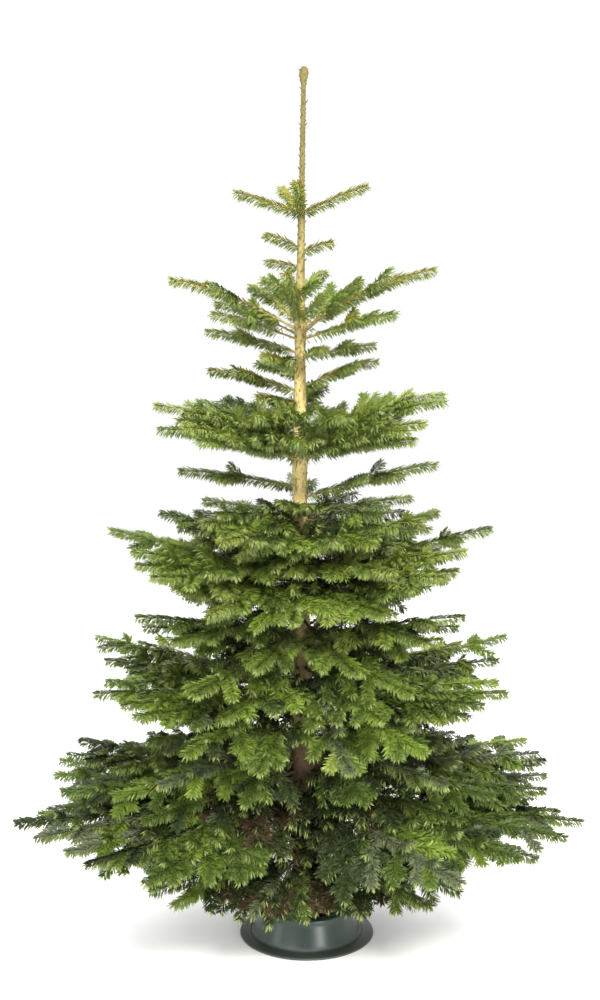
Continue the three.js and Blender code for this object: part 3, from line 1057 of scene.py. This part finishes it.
def make_stand(material):
    """The moulded stand: flange, flared cone with a rolled lip, floor and socket."""
    low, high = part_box("stand")
    flange, height = (high.x - low.x) / 2, high.z
    foot, rim, mouth = flange * 0.792, flange * 0.686, flange * 0.598
    wall, floor = 0.004, 0.005
    socket, collar = 0.042, 0.032
    profile = [
        (0.0, 0.0), (flange - 0.0015, 0.0), (flange, 0.0015), (flange - 0.0015, 0.005),
        (foot + 0.012, 0.0055), (foot + 0.008, 0.0062), (foot + 0.005, 0.0048), (foot, 0.0075),
        (foot - 0.005, 0.022), ((foot + rim) / 2 - 0.0012, height / 2), (rim + 0.0008, height - 0.016),
        (rim, height - 0.0045), (rim - 0.0045, height),
        (mouth + 0.0015, height), (mouth, height - 0.0015), (mouth, height - wall),
        (rim - wall, height - 2 * wall), (foot - wall, floor), (socket + wall, floor),
        (socket + wall, collar), (socket, collar), (socket, floor), (0.0, floor),
    ]
    sides, corner = 128, 0.004
    turns = np.linspace(0, 2 * np.pi, sides, endpoint=False)
    rings = [[(p.x * math.cos(t), p.x * math.sin(t), p.y) for t in turns]
             for p in rounded(profile, corner)[1:-1]]
    return skin_piece("stand_shell", rings, material, ["stand"])


# Growing the tree.

stem = Stem()
mass_nodes = sorted(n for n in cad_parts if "_mass_" in n)
limb_nodes = sorted(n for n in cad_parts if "_limb_" in n)
boughs = [Bough.of_mass(node, seed) for seed, node in enumerate(mass_nodes)]
extra_boughs = [
    (tier, math.radians(azimuth), height / 1000, reach / 1000, rise / 1000)
    for tier, *groups in EXTRA_BOUGHS
    for height, reach, rise, *azimuths in groups for azimuth in azimuths
]
boughs += [Bough(*bough, EXTRA_SEED + number) for number, bough in enumerate(extra_boughs)]
axes = [axis for bough in boughs for axis in grow_bough(bough)]
dense = [axis for axis in axes if axis.palette in UPPER_TIERS]
usual = [axis for axis in axes if axis.palette not in UPPER_TIERS]
spacing = sum(axis.needled_length() for axis in axes) / NEEDLES["count"]

needles, twigs, buds = needle_maker(), twig_maker(), bud_maker()
fine_blade, coarse_blade, bud = blade_shape(True), blade_shape(False), bud_shape()
leaf_materials = {
    name: plain_material("needles " + name, colour, roughness, NEEDLE_SHINE)
    for name, (colour, roughness) in LEAF_COLOURS.items()
}

make_stand(plastic_material())
make_stem(bark_material("stem bark", 0.95, 0.35))
bough_bark = bark_material("bough bark", 1.12, 0.95, green_near=0.13, green_far=0.26)
make_wood("bough_bark", [a for a in axes if a.order == 1], bough_bark,
          BOUGH["sides"], BOUGH["swell"], limb_nodes)
for name, colour, members in (
    ("straw", STRAW_TWIG, [a for a in dense if a.order > 1]),
    ("green", GREEN_TWIG, [a for a in usual if a.order > 1 and a.years <= 2]),
    ("brown", BROWN_TWIG, [a for a in usual if a.order > 1 and a.years > 2]),
):
    make_wood(name + "_twigs", members, plain_material(name + " twig", colour, WOOD_ROUGHNESS))
make_buds(axes, plain_material("bud scales", BUD_BROWN, WOOD_ROUGHNESS))
make_scales(plain_material("stem scales", SCALE_OLIVE, WOOD_ROUGHNESS))

replaced = mass_nodes
for part, members, highest in (("top", dense, NEEDLES["parted_from"]), ("main", usual, ALL_ROUND)):
    for colour in LEAF_COLOURS:
        chosen = [axis for axis in members if colour_of(axis) == colour]
        for number, group in enumerate(in_pieces(chosen, spacing)):
            make_needles(f"needles_{part}_{colour}_{number + 1}", group, colour,
                         NEEDLES["under_from"], highest, 20 + number, replaced)
            replaced = ()
    # About a third of the needles lean below that limit, and all of those are one pale colour.
    for number, group in enumerate(in_pieces(members, spacing * 3)):
        make_needles(f"needles_{part}_under_{number + 1}", group, "under",
                     -ALL_ROUND, NEEDLES["under_from"], 60 + number)

for helper in (fine_blade, coarse_blade, bud):
    bpy.data.objects.remove(helper)


# Floor, light and camera.

def make_floor(size=30.0):
    corners = [(-size, -size, 0), (size, -size, 0), (size, size, 0), (-size, size, 0)]
    mesh = mesh_of("floor", corners, [(0, 1, 2, 3)], smooth=False)
    mesh.materials.append(plain_material("floor", (0.95, 0.95, 0.95), 1.0, specular=0.0))
    link("floor", mesh)


def make_light(name, place, target, size, power, colour=(1.0, 1.0, 1.0)):
    light = bpy.data.lights.new(name, "AREA")
    light.shape = "SQUARE"
    light.size = size
    light.energy = power
    light.color = colour
    made = link(name, light)
    made.location = place
    made.rotation_euler = (Vector(target) - made.location).to_track_quat("-Z", "Y").to_euler()


make_floor()
make_light("key", (1.1, -3.6, 3.9), (0, 0, 0.8), 1.6, 420, (1.0, 0.97, 0.9))
make_light("fill", (-2.4, -3.2, 2.4), (0, 0, 0.8), 2.2, 130)
make_light("back", (0.4, 3.4, 3.4), (0, 0, 0.9), 2.2, 160)
make_light("low right", (0.95, -1.75, 0.30), (0, 0, 0.07), 0.45, 13)
make_light("low left", (-1.75, -0.8, 0.30), (0, 0, 0.07), 0.3, 3)

world = bpy.data.worlds.new("studio")
world.use_nodes = True
background = world.node_tree.nodes["Background"].inputs
background["Color"].default_value = (1.0, 1.0, 1.0, 1.0)
background["Strength"].default_value = 1.08
bpy.context.scene.world = world
bpy.context.scene.view_settings.view_transform = "Standard"

camera_data = bpy.data.cameras.new("camera")
camera_data.lens = 47.1
camera_data.sensor_width = 36.0
camera = link("camera", camera_data)
camera.location = EYE
camera.rotation_euler = (math.radians(90 - EYE_TILT), 0, 0)
bpy.context.scene.camera = camera
